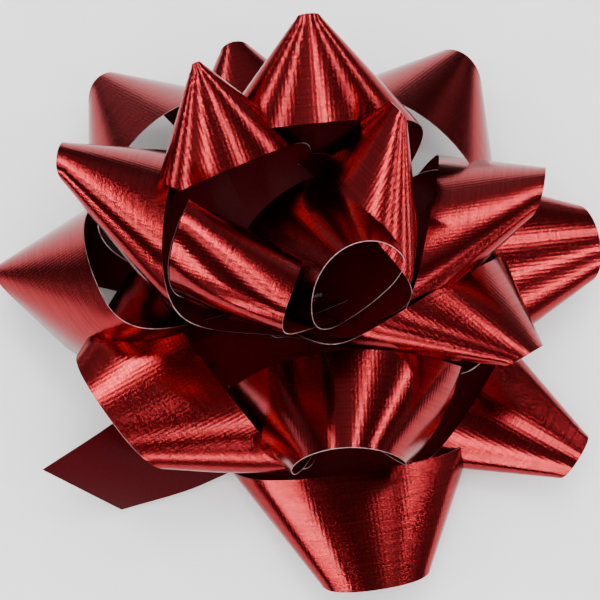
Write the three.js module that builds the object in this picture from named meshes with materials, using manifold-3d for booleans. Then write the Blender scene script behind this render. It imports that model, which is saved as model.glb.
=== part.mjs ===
// Pre-made gift bow: a star bow of shiny ribbon loops, stapled to a card with a sticky pad.
//
// Millimetres, +Z up. The origin is the centre of the underside of the release liner, so the
// bow stands on z = 0 and the staple stands on the Z axis. Each loop is a strip of ribbon
// rolled round a cone whose apex points outwards, with both of its ends held at the centre.

import * as THREE from 'three';
import { mergeVertices } from 'three/addons/utils/BufferGeometryUtils.js';
import Module from 'manifold-3d';

const wasm = await Module();
wasm.setup();

// ---- driving dimensions ----
const ribbonWidth = 19;
const filmThickness = 0.3;
const clearance = 0.3; // left between pieces that touch on the real bow
const linerThickness = 0.2;
const padThickness = 1;
const cardThickness = 0.8;
const cardRadius = 16;
const padSide = 22;
const linerRadius = 15;
const linerTabLength = 6;
const linerTabWidth = 9;
const stackRadius = 6; // the ribbon crossings pressed together under the staple
const stackHeight = 5;
const stapleSpan = 7;
const stapleWire = 0.6;
const slitAngle = 148; // how far round its cone, from the top line, each side of a loop is rolled
const rulingsPerLoop = 22;
const pullStart = 0.35; // share of the way to a strip's end where its pull to the centre starts
const squeeze = 0.7; // share of its width that a strip loses at the centre
const squeezeStart = 0.4;
const stackGap = 1.5; // between the stack and the ends of the loops
const shorteningStep = 0.5;
const bisections = 40;
const discSides = 40;
const loopMargin = 2 * clearance; // kept free round each loop for the loops that lean on it
const sagStart = cardRadius + 2; // from here to sagEnd the loops' lowest height falls past the card
const sagEnd = cardRadius + 8;
const leastTurn = 0.01; // keeps the length of a ruling at the middle of the strip from being endless

const cardTop = linerThickness + padThickness + cardThickness;
const gatherHeight = cardTop + stackHeight / 2; // where every loop is held on the Z axis
const lowestRibbon = cardTop + 2 * clearance + 1.5 * filmThickness; // room for the tail under the loops
const lowestPetal = 1; // where loops that reach past the card may sag to
const floorSoftness = 1.2;
const stapleTop = cardTop + stackHeight + clearance + stapleWire;
const stapleFoot = linerThickness + clearance / 2;
const stapleGap = 1.6; // between the two ends clinched under the card

// The two edges of the ribbon's free end, from the centre out.
const tailSteps = 5;
const tailBend = 0.64; // share of the way along where the free end bends up
const tailBendGap = 0.006;
const tailUpperEdge = [[-8, -3.5, 2.5], [-18, -11, 6], [-28, -22, 11.5], [-39, -31, 14.5]];
const tailLowerEdge = [[-2, -8.5, 2.5], [-5, -23, 2.6], [-15, -29.5, 2], [-28, -33.5, 1.2]];

// ---- the loops ----
// azimuth and rise give the direction of the cone's apex from the centre, and reach is how far
// out it is. cone is its half angle, spread how much wider than round it is, and setback how far
// the ribbon's outer edge stays from the apex. The cone's axis runs inwards from the apex, up by
// climb and turned from the azimuth by swing, and roll turns the loop about it.
const loops = {
  // azimuth, rise, reach, cone, spread, setback, climb, swing, roll
  centre_loop_1: [159, 44, 47, 17, 1.0, 17, -18, -20, -78],
  centre_loop_2: [-48, 63, 42, 25, 1.0, 15, -56, -15, -8],
  inner_loop_1: [123, 53, 48, 24, 1.3, 1, -60, -8, 0],
  inner_loop_2: [53, 53, 43, 26, 1.3, 3, -54, 8, 30],
  inner_loop_3: [88, 52, 52, 27, 1.3, 2, -64, 8, 0],
  middle_loop_1: [159, 32, 52, 25, 1.3, 5, -25, 0, -30],
  middle_loop_2: [218, 22, 57.5, 23, 1.35, 17, -24, -3, 0],
  middle_loop_3: [278, 33, 51.5, 26, 1.15, 12, -42, -12, -10],
  middle_loop_4: [332, 29, 48.5, 24, 1.3, 5, -28, -16, 20],
  middle_loop_5: [15, 30, 51, 26, 1.3, 6, -34, -7, 30],
  outer_loop_1: [176, 4, 51, 38, 1.1, 2, 0, 0, -40],
  outer_loop_2: [131, 4, 54, 34, 1.2, 4, 0, 0, -20],
  outer_loop_3: [104, 5, 49, 28, 1.3, 3, 0, 0, 0],
  outer_loop_4: [57, 6, 54, 34, 1.2, 5, -5, 0, 20],
  outer_loop_5: [11, 4, 60, 21, 1.3, 12, 0, 0, 0],
  outer_loop_6: [328, 4, 60, 18, 1.3, 9, -10, 0, 0],
  outer_loop_7: [283, 3, 63, 22, 1.3, 14, -6, -4, 0],
};

const radians = THREE.MathUtils.degToRad;
const smoothstep = THREE.MathUtils.smoothstep;
const up = new THREE.Vector3(0, 0, 1);
const gatherPoint = new THREE.Vector3(0, 0, gatherHeight);

// The level direction at an azimuth in degrees.
function level(azimuth) {
  return new THREE.Vector3(Math.cos(radians(azimuth)), Math.sin(radians(azimuth)), 0);
}

function material(colour, roughness, metalness) {
  return new THREE.MeshStandardMaterial({ color: colour, roughness, metalness });
}

// ---- the materials: colour, roughness and metalness ----
const shinyFilm = material(0xa01820, 0.3, 0.9);
const dullFilm = material(0x5c0a10, 0.3, 0.9);
const pressedFilm = material(0x7a1018, 0.4, 0.8);
const board = material(0xd8d2c4, 0.9, 0);
const foam = material(0xe8e6df, 0.8, 0);
const waxedPaper = material(0xf2f0ea, 0.5, 0);
const zincWire = material(0xb8babd, 0.3, 1);

// The wrap angles at which both sides of the ribbon leave the cone and at which they end,
// reach away from the apex. A strip too short to close round its cone stays on it.
function wrapsOf({ cone, setback, reach }) {
  const share = Math.sin(radians(cone));
  const closed = Math.PI * share;
  const middle = setback + ribbonWidth / 2;
  const end = reach > middle ? Math.acos(middle / reach) : closed;
  let low = closed / 2;
  let high = closed;
  for (let step = 0; step < bisections; step += 1) {
    const wrap = (low + high) / 2;
    if (wrap + Math.atan(share * Math.tan(Math.PI - wrap / share)) > end) {
      low = wrap;
    } else {
      high = wrap;
    }
  }
  return { leave: Math.min(high, end), end };
}

// A point of the flat strip, rolled on its cone. wrap is the angle in the flat strip between
// its short axis and the line from the apex to the point, and distance is that line's length.
// Past the wrap angle leave the strip runs straight on.
function rolledPoint({ cone, spread }, leave, wrap, distance) {
  const halfAngle = radians(cone);
  const held = Math.min(Math.abs(wrap), leave);
  const turn = held / Math.sin(halfAngle);
  const past = Math.abs(wrap) - held;
  const around = new THREE.Vector3(0, Math.cos(turn), -Math.sin(turn));
  const ray = new THREE.Vector3(
    Math.cos(halfAngle),
    Math.sin(halfAngle) * Math.sin(turn),
    Math.sin(halfAngle) * Math.cos(turn),
  );
  const point = ray.multiplyScalar(Math.cos(past)).addScaledVector(around, Math.sin(past));
  point.multiply(new THREE.Vector3(1, Math.sign(wrap) * spread, Math.sqrt(2 - spread ** 2)));
  return point.multiplyScalar(distance);
}

// The turn and place of a loop's own axes: X runs from the apex along the cone's axis towards
// the centre of the bow, and Z is the side that faces up.
function placeOf(loop) {
  const heading = level(loop.azimuth + loop.swing);
  const climb = radians(loop.climb);
  const inwards = heading.clone().multiplyScalar(-Math.cos(climb)).addScaledVector(up, Math.sin(climb));
  const top = heading.clone().multiplyScalar(Math.sin(climb)).addScaledVector(up, Math.cos(climb));
  const axes = new THREE.Matrix4().makeBasis(inwards, new THREE.Vector3().crossVectors(top, inwards), top);
  axes.premultiply(new THREE.Matrix4().makeRotationAxis(inwards, radians(loop.roll)));
  const rise = radians(loop.rise);
  const apex = gatherPoint.clone().addScaledVector(level(loop.azimuth), loop.reach * Math.cos(rise));
  axes.setPosition(apex.addScaledVector(up, loop.reach * Math.sin(rise)));
  const { leave, end } = wrapsOf(loop);
  const middle = loop.setback + ribbonWidth / 2;
  const pulls = [-1, 1].map((side) => {
    const tip = rolledPoint(loop, leave, side * end, middle / Math.cos(end));
    return gatherPoint.clone().sub(tip.applyMatrix4(axes));
  });
  const sideways = new THREE.Vector3().crossVectors(up, level(loop.azimuth));
  return { axes, leave, pulls, halfLength: middle * Math.tan(end), sideways };
}

// A point of a loop's middle surface in the bow. The ends of the strip are drawn to the
// centre, squeezed sideways into the loop's own sector and kept above the card.
function loopPoint(loop, place, wrap, distance) {
  const point = rolledPoint(loop, place.leave, wrap, distance).applyMatrix4(place.axes);
  const along = Math.min(1, Math.abs(distance * Math.sin(wrap)) / place.halfLength);
  const pull = Math.max(0, (along - pullStart) / (1 - pullStart)) ** 2;
  point.addScaledVector(place.pulls[wrap < 0 ? 0 : 1], pull);
  const sideOffset = point.dot(place.sideways);
  point.addScaledVector(place.sideways, -squeeze * sideOffset * smoothstep(along, squeezeStart, 1));
  const pastCard = smoothstep(Math.hypot(point.x, point.y), sagStart, sagEnd);
  const floor = THREE.MathUtils.lerp(lowestRibbon, lowestPetal, pastCard);
  point.z = floor + floorSoftness * Math.log1p(Math.exp((point.z - floor) / floorSoftness));
  return point;
}

// The straight lines of the rolled strip, from its outer edge to its mouth edge, each stopped
// before it would run into the stack at the centre.
function rulingsOf(loop, place) {
  const widest = Math.min(radians(slitAngle) * Math.sin(radians(loop.cone)), place.leave);
  const lines = [];
  for (let i = 0; i <= rulingsPerLoop; i += 1) {
    const wrap = widest * (2 * i / rulingsPerLoop - 1);
    const outer = loopPoint(loop, place, wrap, loop.setback / Math.cos(wrap));
    const full = (loop.setback + ribbonWidth) / Math.cos(wrap);
    const stop = place.halfLength / Math.max(Math.abs(Math.sin(wrap)), leastTurn);
    let distance = Math.min(full, stop);
    let mouth = loopPoint(loop, place, wrap, distance);
    while (Math.hypot(mouth.x, mouth.y) < stackRadius + stackGap) {
      distance -= shorteningStep;
      mouth = loopPoint(loop, place, wrap, distance);
    }
    lines.push([outer, mouth]);
  }
  return lines;
}

// The same rows with every edge moved outwards by a margin.
function widened(rows, margin) {
  const past = (from, to) => to.clone().add(to.clone().sub(from).setLength(margin));
  const longer = rows.map(([outer, mouth]) => [past(mouth, outer), past(outer, mouth)]);
  const count = longer.length;
  const first = longer[0].map((point, side) => past(longer[1][side], point));
  const last = longer[count - 1].map((point, side) => past(longer[count - 2][side], point));
  return [first, ...longer, last];
}

// A closed thin wall on a grid of points: rows of equal length, each joined to the next.
function wallSolid(rows, thickness) {
  const rowCount = rows.length;
  const columnCount = rows[0].length;
  const positions = [];
  const at = (row, column) => rows[Math.min(Math.max(row, 0), rowCount - 1)][
    Math.min(Math.max(column, 0), columnCount - 1)];
  for (const side of [0.5, -0.5]) {
    for (let row = 0; row < rowCount; row += 1) {
      for (let column = 0; column < columnCount; column += 1) {
        const along = at(row + 1, column).clone().sub(at(row - 1, column));
        const across = at(row, column + 1).clone().sub(at(row, column - 1));
        const normal = along.cross(across).normalize();
        const point = at(row, column).clone().addScaledVector(normal, side * thickness);
        positions.push(point.x, point.y, point.z);
      }
    }
  }
  const index = [];
  const id = (side, row, column) => (side * rowCount + row) * columnCount + column;
  const quad = (a, b, c, d) => index.push(a, b, c, a, c, d);
  for (let row = 0; row < rowCount - 1; row += 1) {
    for (let column = 0; column < columnCount - 1; column += 1) {
      quad(id(0, row, column), id(0, row + 1, column), id(0, row + 1, column + 1), id(0, row, column + 1));
      quad(id(1, row, column), id(1, row, column + 1), id(1, row + 1, column + 1), id(1, row + 1, column));
    }
    quad(id(0, row, 0), id(1, row, 0), id(1, row + 1, 0), id(0, row + 1, 0));
    const last = columnCount - 1;
    quad(id(0, row, last), id(0, row + 1, last), id(1, row + 1, last), id(1, row, last));
  }
  for (let column = 0; column < columnCount - 1; column += 1) {
    quad(id(0, 0, column), id(0, 0, column + 1), id(1, 0, column + 1), id(1, 0, column));
    const last = rowCount - 1;
    quad(id(0, last, column), id(1, last, column), id(1, last, column + 1), id(0, last, column + 1));
  }
  return new wasm.Manifold(new wasm.Mesh({
    numProp: 3,
    vertProperties: new Float32Array(positions),
    triVerts: new Uint32Array(index),
  }));
}

// Rows across the ribbon's free end, between two shares of its length.
function tailRows(from, to) {
  const upper = new THREE.CatmullRomCurve3(tailUpperEdge.map((point) => new THREE.Vector3(...point)));
  const lower = new THREE.CatmullRomCurve3(tailLowerEdge.map((point) => new THREE.Vector3(...point)));
  return Array.from({ length: tailSteps + 1 }, (unused, step) => {
    const share = from + (to - from) * step / tailSteps;
    return [upper.getPoint(share), lower.getPoint(share)];
  });
}

// ---- solids ----
function solidOf(geometry) {
  geometry.deleteAttribute('normal');
  geometry.deleteAttribute('uv');
  const merged = mergeVertices(geometry);
  return new wasm.Manifold(new wasm.Mesh({
    numProp: 3,
    vertProperties: new Float32Array(merged.attributes.position.array),
    triVerts: new Uint32Array(merged.index.array),
  }));
}

function boxSolid(lowX, highX, lowY, highY, lowZ, highZ) {
  const geometry = new THREE.BoxGeometry(highX - lowX, highY - lowY, highZ - lowZ);
  return solidOf(geometry.translate((lowX + highX) / 2, (lowY + highY) / 2, (lowZ + highZ) / 2));
}

function discSolid(radius, lowZ, highZ) {
  const geometry = new THREE.CylinderGeometry(radius, radius, highZ - lowZ, discSides);
  return solidOf(geometry.rotateX(Math.PI / 2).translate(0, 0, (lowZ + highZ) / 2));
}

// The staple's wire, and with spare the room that the pieces it passes through leave for it.
function stapleSolid(spare) {
  const half = stapleWire / 2 + spare;
  const crown = boxSolid(-stapleSpan / 2 - half, stapleSpan / 2 + half, -half, half,
    stapleTop - stapleWire - spare, stapleTop + spare);
  let wire = crown;
  for (const side of [-1, 1]) {
    const leg = side * stapleSpan / 2;
    wire = wire.add(boxSolid(leg - half, leg + half, -half, half, stapleFoot - spare, stapleTop));
    const inner = side * stapleGap / 2;
    wire = wire.add(boxSolid(Math.min(leg, inner) - half, Math.max(leg, inner) + half, -half, half,
      stapleFoot - spare, stapleFoot + stapleWire + spare));
  }
  return wire;
}

function largestBody(solid) {
  return solid.decompose().reduce((best, body) => (body.volume() > best.volume() ? body : best));
}

function geometryOf(solid) {
  const { vertProperties, triVerts } = solid.getMesh();
  const geometry = new THREE.BufferGeometry();
  geometry.setAttribute('position', new THREE.BufferAttribute(vertProperties, 3));
  geometry.setIndex(new THREE.BufferAttribute(triVerts, 1));
  geometry.computeVertexNormals();
  return geometry;
}

// ---- the bow ----
const bow = new THREE.Group();

function addPiece(name, solid, finish) {
  const mesh = new THREE.Mesh(geometryOf(solid), finish);
  mesh.name = name;
  bow.add(mesh);
}

function addRibbon() {
  const rows = Object.entries(loops).map(([name, values]) => {
    const [azimuth, rise, reach, cone, spread, setback, climb, swing, roll] = values;
    const loop = { azimuth, rise, reach, cone, spread, setback, climb, swing, roll };
    return { name, lines: rulingsOf(loop, placeOf(loop)) };
  });
  rows.push({ name: 'ribbon_tail_root', lines: tailRows(0, tailBend - tailBendGap) });
  rows.push({ name: 'ribbon_tail', lines: tailRows(tailBend + tailBendGap, 1) });
  const rooms = [
    discSolid(cardRadius + clearance, 0, cardTop + clearance),
    discSolid(stackRadius + clearance, 0, stapleTop + clearance),
  ];
  for (const { name, lines } of rows) {
    let body = wallSolid(lines, filmThickness);
    for (const room of rooms) {
      body = body.subtract(room);
    }
    body = largestBody(body);
    addPiece(name, body, name.startsWith('ribbon_tail') ? dullFilm : shinyFilm);
    rooms.push(wallSolid(widened(lines, loopMargin), filmThickness + 2 * loopMargin));
  }
  const stack = discSolid(stackRadius, cardTop, cardTop + stackHeight);
  addPiece('ribbon_centre_stack', stack.subtract(stapleSolid(clearance)), pressedFilm);
}

function addBase() {
  const room = stapleSolid(clearance);
  const card = discSolid(cardRadius, linerThickness + padThickness, cardTop);
  addPiece('backing_card', card.subtract(room), board);
  const pad = boxSolid(-padSide / 2, padSide / 2, -padSide / 2, padSide / 2,
    linerThickness, linerThickness + padThickness);
  addPiece('adhesive_pad', pad.subtract(room), foam);
  const liner = discSolid(linerRadius, 0, linerThickness).add(boxSolid(-linerTabWidth / 2, linerTabWidth / 2,
    -linerRadius - linerTabLength, 0, 0, linerThickness));
  addPiece('release_liner', liner, waxedPaper);
  addPiece('staple', stapleSolid(0), zincWire);
}

addRibbon();
addBase();

export default bow;
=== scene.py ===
"""The looks of a pre-made gift bow: shiny ribbon loops, its free end, and the card, pad and liner below.

Every loop is one strip of ribbon rolled round a cone whose apex points outwards, with both
ends held at the centre. Shapes are worked out in millimetres and made in metres. The card, the
liner, the staple and the pressed crossings are the CAD's own meshes with better materials.
"""

import math

import bmesh
import bpy
import numpy as np
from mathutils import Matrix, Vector


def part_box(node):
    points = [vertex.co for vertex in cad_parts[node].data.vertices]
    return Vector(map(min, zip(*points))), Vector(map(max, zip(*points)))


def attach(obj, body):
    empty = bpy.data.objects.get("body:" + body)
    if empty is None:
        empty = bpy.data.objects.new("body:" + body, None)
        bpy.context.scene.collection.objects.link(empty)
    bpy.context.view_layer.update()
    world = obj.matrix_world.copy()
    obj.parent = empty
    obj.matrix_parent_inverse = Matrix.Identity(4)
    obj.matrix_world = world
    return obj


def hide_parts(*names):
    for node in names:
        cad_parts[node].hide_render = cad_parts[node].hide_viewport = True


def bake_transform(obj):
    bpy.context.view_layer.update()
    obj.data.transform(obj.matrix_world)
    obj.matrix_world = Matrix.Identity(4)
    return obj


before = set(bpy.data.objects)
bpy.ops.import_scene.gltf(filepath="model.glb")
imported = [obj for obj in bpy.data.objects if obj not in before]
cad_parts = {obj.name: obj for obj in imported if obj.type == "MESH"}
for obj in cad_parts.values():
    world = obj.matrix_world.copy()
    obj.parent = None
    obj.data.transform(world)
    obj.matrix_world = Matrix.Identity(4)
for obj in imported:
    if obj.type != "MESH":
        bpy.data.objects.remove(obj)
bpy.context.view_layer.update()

MM = 0.001

# ---- driving dimensions, in millimetres and degrees ----
RIBBON_WIDTH = 19.0
FILM = 0.14                 # thickness of the ribbon's film
STEPS_ALONG = 150           # grid of one loop
STEPS_ACROSS = 16
SHARP_EDGE = 60.0           # the film's sides are smooth, and its cut edge stays crisp
CARD_RADIUS = 16.0
GATHER = np.array([0.0, 0.0, 4.5])  # where every loop is held
LOWEST_ON_CARD = 2.9
LOWEST_PAST_CARD = 1.0
SAG_START = CARD_RADIUS + 2  # from here to SAG_END the lowest height falls past the card
SAG_END = CARD_RADIUS + 8
FLOOR_SOFTNESS = 1.2
PULL_START = 0.35           # share of the way to the strip's end where its pull to the centre starts
SQUEEZE = 0.3               # share of its width that a strip loses at the centre
SQUEEZE_START = 0.4
BISECTIONS = 40
UNSHADED_EDGE = 24.0            # how far from the middle of a loop's strip its cut edge stays pale; past it, painted shade darkens the edge
# over this length the cut edge fades into painted shade towards the bow's centre
EDGE_SHADE_FADE = 8.0

# azimuth and rise give the direction of the cone's apex from the centre, and reach is how far
# out it is. cone is its half angle, spread how much wider than round it is, and setback how far
# the ribbon's outer edge stays from the apex. The cone's axis runs inwards from the apex, up by
# climb and turned from the azimuth by swing, and roll turns the loop about it.
LOOPS = {
    # azimuth, rise, reach, cone, spread, setback, climb, swing, roll
    "centre_loop_1": (159, 44, 47, 17, 1.0, 17, -18, -20, -78),
    "centre_loop_2": (-48, 63, 42, 25, 1.0, 15, -56, -15, -8),
    "inner_loop_1": (123, 53, 48, 24, 1.3, 1, -60, -8, 0),
    "inner_loop_2": (53, 53, 43, 26, 1.3, 3, -54, 8, 30),
    "inner_loop_3": (88, 52, 52, 27, 1.3, 2, -64, 8, 0),
    "middle_loop_1": (159, 32, 52, 25, 1.3, 5, -25, 0, -30),
    "middle_loop_2": (218, 22, 57.5, 23, 1.35, 17, -24, -3, 0),
    "middle_loop_3": (278, 33, 51.5, 26, 1.15, 12, -42, -12, -10),
    "middle_loop_4": (332, 29, 48.5, 24, 1.3, 5, -28, -16, 20),
    "middle_loop_5": (15, 30, 51, 26, 1.3, 6, -34, -7, 30),
    "outer_loop_1": (176, 4, 51, 38, 1.1, 2, 0, 0, -40),
    "outer_loop_2": (131, 4, 54, 34, 1.2, 4, 0, 0, -20),
    "outer_loop_3": (104, 5, 49, 28, 1.3, 3, 0, 0, 0),
    "outer_loop_4": (57, 6, 54, 34, 1.2, 5, -5, 0, 20),
    "outer_loop_5": (11, 4, 60, 21, 1.3, 12, 0, 0, 0),
    "outer_loop_6": (328, 4, 60, 18, 1.3, 9, -10, 0, 0),
    "outer_loop_7": (283, 3, 63, 22, 1.3, 14, -6, -4, 0),
}

# The two edges of the ribbon's free end, from the centre out, and where it bends.
TAIL_UPPER_EDGE = ((-8, -3.5, 2.5), (-18, -11, 6), (-28, -22, 11.5), (-39, -31, 14.5))
TAIL_LOWER_EDGE = ((-2, -8.5, 2.5), (-5, -23, 2.6), (-15, -29.5, 2), (-28, -33.5, 1.2))
TAIL_STEPS = 48

PAD_POINTS = 160            # round the foam pad's outline
PAD_CORNER = 0.35           # the lower, the sharper its corners
PAD_LAYERS = 6
PAD_PINCH = 0.2             # how far its cut sides go in at half height
PAD_RIPPLE = 0.05           # how uneven they are, in PAD_RIPPLES waves round the pad
PAD_RIPPLES = 23

FLOOR_SIZE = 6.0            # in metres
FLOOR_GAP = 0.1             # keeps the floor's face off the liner's
CAMERA_ELEVATION = 68.0
CAMERA_DISTANCE = 320.0
CAMERA_CENTRE = np.array([0.0, 0.0, 16.0])  # what the distance is measured from
CAMERA_AIM = (0.0, -3.5, 14.6)
CAMERA_LENS = 123.0
CAMERA_NEAR = 0.01          # in metres

# Narrow strips all round make the streaks along the film, and two broad ones light it from above.
SOFTBOX_DISTANCE = 1.2      # in metres
SOFTBOXES = (
    # azimuth, elevation, width, height, power
    (200, 40, 0.05, 0.8, 3.2),
    (228, 32, 0.04, 0.8, 2.6),
    (255, 40, 0.05, 0.8, 3.2),
    (285, 30, 0.04, 0.8, 2.8),
    (312, 40, 0.05, 0.8, 3.2),
    (342, 34, 0.04, 0.8, 2.8),
    (12, 42, 0.05, 0.8, 3.2),
    (45, 36, 0.04, 0.8, 2.6),
    (80, 48, 0.06, 0.6, 3.2),
    (118, 40, 0.04, 0.8, 2.6),
    (160, 44, 0.05, 0.8, 2.8),
    (250, 66, 0.5, 0.25, 3.5),
    (60, 74, 0.5, 0.2, 2.5),
)
PATCH_SCALE = 2.6
PATCH_RANGE = (0.46, 0.58)  # the noise values between which a dark patch turns into a light one
PATCH_LIGHT = (0.07, 0.42)
FILL_STRENGTH = 2.4
FILL_ANGLE = 60.0

UP = np.array([0.0, 0.0, 1.0])


# ---- shapes ----
def level(azimuth):
    angle = math.radians(azimuth)
    return np.array([math.cos(angle), math.sin(angle), 0.0])


def smoothstep(value, low, high):
    share = np.clip((value - low) / (high - low), 0, 1)
    return share * share * (3 - 2 * share)


def turned(axis, degrees):
    """The matrix that turns about a unit axis."""
    angle = math.radians(degrees)
    cross = np.array([[0, -axis[2], axis[1]], [axis[2], 0, -axis[0]], [-axis[1], axis[0], 0]])
    return np.eye(3) + math.sin(angle) * cross + (1 - math.cos(angle)) * cross @ cross


def legs_of(cone, setback, reach):
    """The wrap angle at which both sides of the strip leave the cone, and the strip's half length.

    The ends are reach from the apex. A strip too short to close round its cone stays on it.
    """
    middle = setback + RIBBON_WIDTH / 2
    squeeze = math.sin(math.radians(cone))
    closed = math.pi * squeeze
    end = math.acos(middle / reach) if reach > middle else closed
    low, high = closed / 2, closed
    for _ in range(BISECTIONS):
        wrap = (low + high) / 2
        if wrap + math.atan(squeeze * math.tan(math.pi - wrap / squeeze)) > end:
            low = wrap
        else:
            high = wrap
    return min(high, end), middle * math.tan(end)


def rolled(cone, last_wrap, along, across):
    """Points of the flat strip, rolled on its cone up to last_wrap and straight after it."""
    half = math.radians(cone)
    wrap = np.arctan2(np.abs(along), across)
    distance = np.hypot(along, across)
    on_cone = np.minimum(wrap, last_wrap)
    turn = on_cone / math.sin(half)
    ray = np.stack([np.full_like(turn, math.cos(half)), math.sin(half) * np.sin(turn),
                    math.sin(half) * np.cos(turn)], -1)
    around = np.stack([np.zeros_like(turn), np.cos(turn), -np.sin(turn)], -1)
    past = (wrap - on_cone)[..., None]
    points = distance[..., None] * (np.cos(past) * ray + np.sin(past) * around)
    points[..., 1] *= np.where(along < 0, -1, 1)
    return points


def raised(points):
    """The same points, kept softly above the card and the surface that the bow stands on."""
    past_card = smoothstep(np.hypot(points[..., 0], points[..., 1]), SAG_START, SAG_END)
    floor = LOWEST_ON_CARD + (LOWEST_PAST_CARD - LOWEST_ON_CARD) * past_card
    points[..., 2] = floor + FLOOR_SOFTNESS * np.logaddexp(0, (points[..., 2] - floor) / FLOOR_SOFTNESS)
    return points


def loop_points(azimuth, rise, reach, cone, spread, setback, climb, swing, roll):
    """The loop's grid of points, and the same grid on the flat ribbon."""
    last_wrap, half_length = legs_of(cone, setback, reach)
    heading = level(azimuth + swing)
    slope = math.radians(climb)
    inwards = -math.cos(slope) * heading + math.sin(slope) * UP
    top = math.sin(slope) * heading + math.cos(slope) * UP
    axes = turned(inwards, roll) @ np.stack([inwards, np.cross(top, inwards), top], 1)
    axes = axes * (1, spread, math.sqrt(2 - spread ** 2))  # a wider cone is flatter, with the same way round
    lift = math.radians(rise)
    apex = GATHER + reach * (math.cos(lift) * level(azimuth) + math.sin(lift) * UP)
    along, across = np.meshgrid(np.linspace(-half_length, half_length, STEPS_ALONG + 1),
                                np.linspace(0, RIBBON_WIDTH, STEPS_ACROSS + 1), indexing="ij")
    points = rolled(cone, last_wrap, along, setback + across) @ axes.T + apex
    share = np.abs(along) / half_length
    ends = points[[0, -1], STEPS_ACROSS // 2]
    pull = np.clip((share - PULL_START) / (1 - PULL_START), 0, 1) ** 2
    points += pull[..., None] * np.where(along[..., None] < 0, GATHER - ends[0], GATHER - ends[1])
    sideways = np.cross(UP, level(azimuth))
    offset = points @ sideways
    points -= (SQUEEZE * offset * smoothstep(share, SQUEEZE_START, 1))[..., None] * sideways
    return raised(points), np.stack([along, across], -1)


def run_along(points):
    """Distances along the middle line of a grid of points."""
    middle = points[:, points.shape[1] // 2]
    return np.concatenate([[0], np.cumsum(np.linalg.norm(np.diff(middle, axis=0), axis=1))])


def smooth_edge(controls, shares):
    """A Catmull-Rom curve through its control points, at shares of its way from 0 to 1."""
    knots = np.array(controls, float)
    knots = np.vstack([2 * knots[0] - knots[1], knots, 2 * knots[-1] - knots[-2]])
    spans = len(controls) - 1
    place = np.asarray(shares) * spans
    first = np.minimum(place.astype(int), spans - 1)
    t = (place - first)[:, None]
    a, b, c, d = (knots[first + i] for i in range(4))
    curve = (c - a) * t + (2 * a - 5 * b + 4 * c - d) * t ** 2 + (3 * b - a - 3 * c + d) * t ** 3
    return b + 0.5 * curve


def tail_points():
    shares = np.linspace(0, 1, TAIL_STEPS + 1)
    upper, lower = smooth_edge(TAIL_UPPER_EDGE, shares), smooth_edge(TAIL_LOWER_EDGE, shares)
    across = np.linspace(0, 1, STEPS_ACROSS + 1)[None, :, None]
    points = upper[:, None] * (1 - across) + lower[:, None] * across
    flat = np.stack(np.meshgrid(run_along(points), across.ravel() * RIBBON_WIDTH, indexing="ij"), -1)
    return points, flat


# ---- meshes ----
def film_mesh(name, points, flat, materials):
    """A thin closed shell on a grid of points: one side, the other side FILM away, and the cut edge."""
    rows, columns = points.shape[:2]
    normal = np.cross(np.gradient(points, axis=1), np.gradient(points, axis=0))
    normal /= np.linalg.norm(normal, axis=-1, keepdims=True)
    shell = np.concatenate([points.reshape(-1, 3), (points - FILM * normal).reshape(-1, 3)]) * MM
    index = np.arange(rows * columns).reshape(rows, columns)
    quads = np.stack([index[:-1, :-1], index[:-1, 1:], index[1:, 1:], index[1:, :-1]], -1).reshape(-1, 4)
    ring = np.concatenate([index[0, :-1], index[:-1, -1], index[-1, :0:-1], index[:0:-1, 0]])
    following = np.roll(ring, -1)
    other = rows * columns
    rim = np.stack([ring, ring + other, following + other, following], -1)
    faces = np.concatenate([quads, quads[:, ::-1] + other, rim])
    mesh = bpy.data.meshes.new(name)
    mesh.from_pydata(shell.tolist(), [], faces.tolist())
    part = np.repeat([0, 1, 2], [len(quads), len(quads), len(rim)])
    mesh.polygons.foreach_set("material_index", part.astype(np.int32))
    mesh.polygons.foreach_set("use_smooth", np.ones(len(faces), bool))
    layer = mesh.uv_layers.new(name="Strip")
    layer.data.foreach_set("uv", (flat.reshape(-1, 2)[faces.ravel() % other] * MM).astype(np.float32).ravel())
    for material in materials:
        mesh.materials.append(material)
    mesh.set_sharp_from_angle(angle=math.radians(SHARP_EDGE))
    mesh.validate()
    piece = bpy.data.objects.new(name, mesh)
    bpy.context.collection.objects.link(piece)
    return piece


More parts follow.
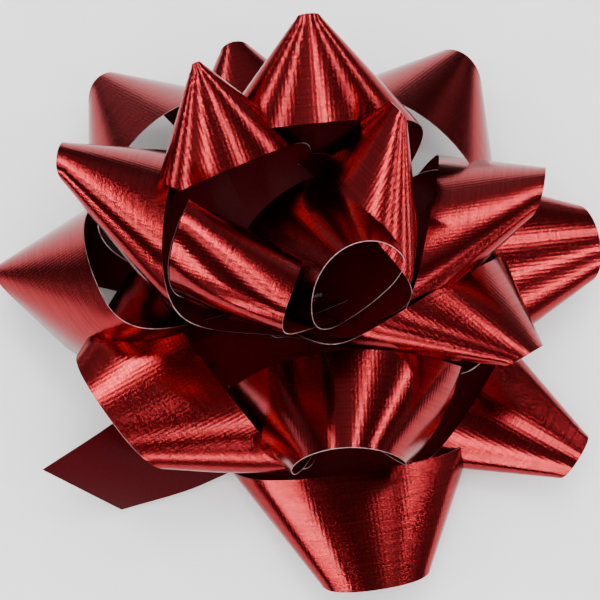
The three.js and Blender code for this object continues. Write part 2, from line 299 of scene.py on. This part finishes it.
# ---- materials ----
class Shader:
    """A node material, built a node at a time.

    Keywords name a node's sockets, with _ for a space, or give a socket's number, as in _0.
    """

    def __init__(self, name):
        self.material = bpy.data.materials.new(name)
        self.material.use_nodes = True
        self.tree = self.material.node_tree
        self.surface = self.tree.nodes["Principled BSDF"]

    def add(self, kind, settings=None, **inputs):
        node = self.tree.nodes.new("ShaderNode" + kind)
        for key, value in (settings or {}).items():
            setattr(node, key, value)
        self.connect(node, **inputs)
        return node

    def connect(self, node, **inputs):
        for key, value in inputs.items():
            socket = node.inputs[int(key[1:])] if key[1:].isdigit() else node.inputs[key.replace("_", " ")]
            if isinstance(value, bpy.types.NodeSocket):
                self.tree.links.new(value, socket)
            else:
                socket.default_value = value

    def finish(self, **inputs):
        self.connect(self.surface, **inputs)
        return self.material

    def strip_place(self, along, across):
        """Millimetres on the flat ribbon, scaled to cycles along and across it."""
        place = self.add("UVMap", {"uv_map": "Strip"})
        return self.add("Mapping", Vector=place.outputs[0], Scale=(along / MM, across / MM, 1)).outputs[0]

    def object_place(self, scale):
        place = self.add("TexCoord")
        return self.add("Mapping", Vector=place.outputs["Object"], Scale=(scale / MM,) * 3).outputs[0]

    def noise(self, place, detail=2.0, roughness=0.5):
        return self.add("TexNoise", Vector=place, Scale=1.0, Detail=detail, Roughness=roughness).outputs[0]

    def bump(self, height, strength, distance, below=None):
        node = self.add("Bump", Height=height, Strength=strength, Distance=distance * MM)
        if below is not None:
            self.connect(node, Normal=below)
        return node.outputs[0]

    def ramp(self, value, *stops):
        node = self.add("ValToRGB", Fac=value)
        ramp = node.color_ramp
        for element, (position, colour) in zip(ramp.elements, stops):
            element.position = position
            element.color = (*colour, 1)
        for position, colour in stops[2:]:
            ramp.elements.new(position).color = (*colour, 1)
        return node.outputs[0]

    def spread(self, value, low, high):
        """A noise's usual range as a number from low to high."""
        node = self.add("MapRange", Value=value, From_Min=0.3, From_Max=0.7, To_Min=low, To_Max=high)
        return node.outputs[0]


def film_front():
    """The metallised side: deep red, with fine lines along the ribbon and fine ribs across it."""
    shader = Shader("ribbon_film_front")
    lines = shader.noise(shader.strip_place(0.1, 2.2), detail=3.0)
    grain = shader.noise(shader.strip_place(3.5, 5.0), detail=1.0)
    waves = shader.noise(shader.strip_place(0.09, 0.05), detail=1.0)
    ribs = shader.add("TexWave", {"bands_direction": "X"}, Vector=shader.strip_place(1.0, 0.0),
                      Scale=0.6, Distortion=0.0).outputs["Fac"]
    normal = shader.bump(waves, 0.3, 0.35)
    normal = shader.bump(ribs, 0.22, 0.02, normal)
    normal = shader.bump(lines, 0.22, 0.03, normal)
    normal = shader.bump(grain, 0.4, 0.035, normal)
    return shader.finish(
        Base_Color=shader.ramp(lines, (0.3, (0.19, 0.009, 0.013)), (0.7, (0.29, 0.015, 0.02))),
        Metallic=1.0, Roughness=shader.spread(grain, 0.11, 0.22), Normal=normal,
        Coat_Weight=0.1, Coat_Roughness=0.12, Coat_IOR=1.5)


def film_back():
    """The bare side: dull dark red."""
    shader = Shader("ribbon_film_back")
    lines = shader.noise(shader.strip_place(0.2, 2.2), detail=3.0)
    grain = shader.noise(shader.strip_place(2.0, 3.0), detail=2.0)
    return shader.finish(
        Base_Color=shader.ramp(grain, (0.3, (0.034, 0.0004, 0.0016)), (0.7, (0.054, 0.0008, 0.0028))),
        Roughness=shader.spread(lines, 0.35, 0.5), Normal=shader.bump(lines, 0.4, 0.02),
        Specular_IOR_Level=0.06)


def film_edge():
    """The cut edge: pale near the middle of the strip, with painted shade making it dark towards its ends,
    near the bow's centre.
    """
    shader = Shader("ribbon_film_edge")
    fray = shader.noise(shader.strip_place(1.5, 1.5), detail=3.0)
    along = shader.add("SeparateXYZ", Vector=shader.strip_place(1, 1)).outputs[0]
    away = shader.add("Math", {"operation": "ABSOLUTE"}, _0=along).outputs[0]
    painted_edge_shade = shader.add("MapRange", Value=away, From_Min=UNSHADED_EDGE, From_Max=UNSHADED_EDGE + EDGE_SHADE_FADE)
    pale = shader.ramp(fray, (0.35, (0.22, 0.10, 0.10)), (0.65, (0.48, 0.34, 0.34)))
    # painted shade: the edge turns near black towards the strip's ends, where the bow's centre shades it
    colour = shader.add("MixRGB", _0=painted_edge_shade.outputs[0], _1=pale, _2=(0.03, 0.001, 0.002, 1)).outputs[0]
    return shader.finish(Base_Color=colour, Roughness=0.45, Normal=shader.bump(fray, 0.3, 0.02))


def pressed_film():
    """The ribbon's crossings, pressed into a pile of thin layers."""
    shader = Shader("pressed_film")
    place = shader.add("TexCoord").outputs["Object"]
    flattened = shader.add("Mapping", Vector=place, Scale=(0.06 / MM, 0.06 / MM, 3.4 / MM)).outputs[0]
    layers = shader.noise(flattened, detail=2.0)
    grain = shader.noise(shader.object_place(5.0), detail=1.0)
    return shader.finish(
        Base_Color=shader.ramp(layers, (0.35, (0.16, 0.002, 0.004)), (0.65, (0.36, 0.006, 0.01))),
        Metallic=0.9, Roughness=shader.spread(grain, 0.25, 0.4), Normal=shader.bump(layers, 0.8, 0.15),
        Coat_Weight=0.5, Coat_Roughness=0.2)


def board():
    """Grey-white pressed board with short fibres."""
    shader = Shader("backing_board")
    fibres = shader.noise(shader.object_place(0.9), detail=6.0, roughness=0.65)
    specks = shader.noise(shader.object_place(3.5), detail=3.0)
    colour = shader.ramp(fibres, (0.3, (0.50, 0.46, 0.39)), (0.62, (0.68, 0.65, 0.58)),
                         (0.8, (0.75, 0.72, 0.66)))
    return shader.finish(Base_Color=colour, Roughness=shader.spread(specks, 0.8, 0.95),
                         Normal=shader.bump(fibres, 0.5, 0.12, shader.bump(specks, 0.3, 0.04)))


def foam():
    """White foam tape with small cells."""
    shader = Shader("pad_foam")
    cells = shader.add("TexVoronoi", Vector=shader.object_place(2.4), Scale=1.0).outputs["Distance"]
    mottle = shader.noise(shader.object_place(0.35), detail=3.0)
    return shader.finish(
        Base_Color=shader.ramp(mottle, (0.3, (0.70, 0.69, 0.64)), (0.7, (0.82, 0.81, 0.77))),
        Roughness=shader.spread(mottle, 0.6, 0.8), Normal=shader.bump(cells, 0.6, 0.15),
        Subsurface_Weight=0.1, Subsurface_Scale=0.001)


def liner_paper():
    """Waxed release paper, slightly glossy, with faint creases."""
    shader = Shader("liner_paper")
    pulp = shader.noise(shader.object_place(0.7), detail=6.0, roughness=0.6)
    creases = shader.noise(shader.object_place(0.12), detail=3.0)
    return shader.finish(
        Base_Color=shader.ramp(pulp, (0.3, (0.76, 0.74, 0.67)), (0.7, (0.86, 0.85, 0.80))),
        Roughness=shader.spread(pulp, 0.28, 0.42), Normal=shader.bump(creases, 0.35, 0.5),
        Coat_Weight=0.3, Coat_Roughness=0.2)


def wire():
    """Bright zinc-plated staple wire, drawn along its length."""
    shader = Shader("staple_wire")
    drawn = shader.noise(shader.object_place(2.0), detail=4.0)
    return shader.finish(
        Base_Color=shader.ramp(drawn, (0.3, (0.46, 0.47, 0.49)), (0.7, (0.66, 0.67, 0.69))),
        Metallic=1.0, Roughness=shader.spread(drawn, 0.22, 0.42), Normal=shader.bump(drawn, 0.3, 0.02))


# ---- the ribbon ----
FRONT, BACK, EDGE = film_front(), film_back(), film_edge()

for name, values in LOOPS.items():
    grid, flat = loop_points(*values)
    loop = film_mesh(name + "_film", grid, flat, (FRONT, BACK, EDGE))
    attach(loop, "bow")
    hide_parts(name)

grid, flat = tail_points()
tail = film_mesh("ribbon_tail_film", grid, flat, (FRONT, BACK, EDGE))
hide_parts("ribbon_tail_root", "ribbon_tail")
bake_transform(tail)

# ---- the base ----
def pad_mesh():
    """The foam pad: a square with rounded corners, whose cut sides are pinched in at half height."""
    low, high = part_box("adhesive_pad")
    half = (high[0] - low[0]) / 2
    turns = np.linspace(0, 2 * math.pi, PAD_POINTS, endpoint=False)
    square = np.stack([np.sign(np.cos(turns)) * np.abs(np.cos(turns)) ** PAD_CORNER,
                       np.sign(np.sin(turns)) * np.abs(np.sin(turns)) ** PAD_CORNER], -1)
    shape = bmesh.new()
    rings = []
    for step in range(PAD_LAYERS + 1):
        share = step / PAD_LAYERS
        ripple = PAD_RIPPLE * np.sin(turns * PAD_RIPPLES + 2 * step) * math.sin(math.pi * share)
        size = half - (PAD_PINCH * math.sin(math.pi * share) + ripple) * MM
        height = low[2] + share * (high[2] - low[2])
        rings.append([shape.verts.new((x, y, height)) for x, y in square * size[:, None]])
    for lower, upper in zip(rings, rings[1:]):
        for i in range(PAD_POINTS):
            following = (i + 1) % PAD_POINTS
            shape.faces.new((lower[i], lower[following], upper[following], upper[i]))
    shape.faces.new(rings[0][::-1])
    shape.faces.new(rings[-1])
    mesh = bpy.data.meshes.new("adhesive_pad_foam")
    shape.to_mesh(mesh)
    shape.free()
    mesh.materials.append(foam())
    piece = bpy.data.objects.new("adhesive_pad_foam", mesh)
    bpy.context.collection.objects.link(piece)
    return piece


pad = pad_mesh()
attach(pad, "bow")
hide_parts("adhesive_pad")

for node, material, bevel in (
    ("backing_card", board(), 0.15),
    ("release_liner", liner_paper(), 0.04),
    ("staple", wire(), 0.18),
    ("ribbon_centre_stack", pressed_film(), 0.3),
):
    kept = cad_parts[node]
    kept.data.materials.clear()
    kept.data.materials.append(material)
    edge = kept.modifiers.new("rounded", "BEVEL")
    edge.width = bevel * MM
    edge.segments = 2
    edge.limit_method = "ANGLE"

# ---- the stage ----
def place_floor():
    bpy.ops.mesh.primitive_plane_add(size=FLOOR_SIZE)
    floor = bpy.context.object
    floor.name = "floor"
    floor.location.z = -FLOOR_GAP * MM
    paper = Shader("floor_paper")
    floor.data.materials.append(paper.finish(Base_Color=(0.86, 0.86, 0.86, 1), Roughness=0.7))


def place_camera():
    tilt = math.radians(CAMERA_ELEVATION)
    eye = CAMERA_CENTRE + CAMERA_DISTANCE * np.array([0, -math.cos(tilt), math.sin(tilt)])
    camera = bpy.data.objects.new("camera", bpy.data.cameras.new("camera"))
    bpy.context.collection.objects.link(camera)
    camera.data.lens = CAMERA_LENS
    camera.data.clip_start = CAMERA_NEAR
    camera.location = Vector(eye) * MM
    towards = Vector(CAMERA_AIM) * MM - camera.location
    camera.rotation_euler = towards.to_track_quat("-Z", "Y").to_euler()
    bpy.context.scene.camera = camera


def place_softbox(azimuth, elevation, width, height, power):
    """A rectangular light that faces the bow. Sizes are in metres and power in watts."""
    lamp = bpy.data.lights.new("softbox", "AREA")
    lamp.shape = "RECTANGLE"
    lamp.size = width
    lamp.size_y = height
    lamp.energy = power
    holder = bpy.data.objects.new("softbox", lamp)
    bpy.context.collection.objects.link(holder)
    lift = math.radians(elevation)
    holder.location = Vector((level(azimuth) * math.cos(lift) + UP * math.sin(lift)) * SOFTBOX_DISTANCE)
    holder.rotation_euler = (-holder.location).to_track_quat("-Z", "Y").to_euler()


def patchy_world():
    """Soft light and dark patches all round, so that the shiny film has something to mirror."""
    world = bpy.data.worlds.new("studio")
    world.use_nodes = True
    nodes, links = world.node_tree.nodes, world.node_tree.links
    direction = nodes.new("ShaderNodeTexCoord")
    patches = nodes.new("ShaderNodeTexNoise")
    patches.inputs["Scale"].default_value = PATCH_SCALE
    patches.inputs["Detail"].default_value = 1.0
    levels = nodes.new("ShaderNodeMapRange")
    for field, value in zip(("From Min", "From Max", "To Min", "To Max"), (*PATCH_RANGE, *PATCH_LIGHT)):
        levels.inputs[field].default_value = value
    links.new(direction.outputs["Generated"], patches.inputs["Vector"])
    links.new(patches.outputs[0], levels.inputs["Value"])
    links.new(levels.outputs[0], nodes["Background"].inputs["Strength"])
    nodes["Background"].inputs["Color"].default_value = (1, 1, 1, 1)
    bpy.context.scene.world = world


def light_floor():
    """A broad sun for the floor and the film's dull back. The shiny side doesn't mirror it."""
    fill = bpy.data.lights.new("floor_fill", "SUN")
    fill.energy = FILL_STRENGTH
    fill.angle = math.radians(FILL_ANGLE)
    sun = bpy.data.objects.new("floor_fill", fill)
    sun.visible_glossy = False
    bpy.context.collection.objects.link(sun)


place_floor()
place_camera()
for softbox in SOFTBOXES:
    place_softbox(*softbox)
patchy_world()
light_floor()
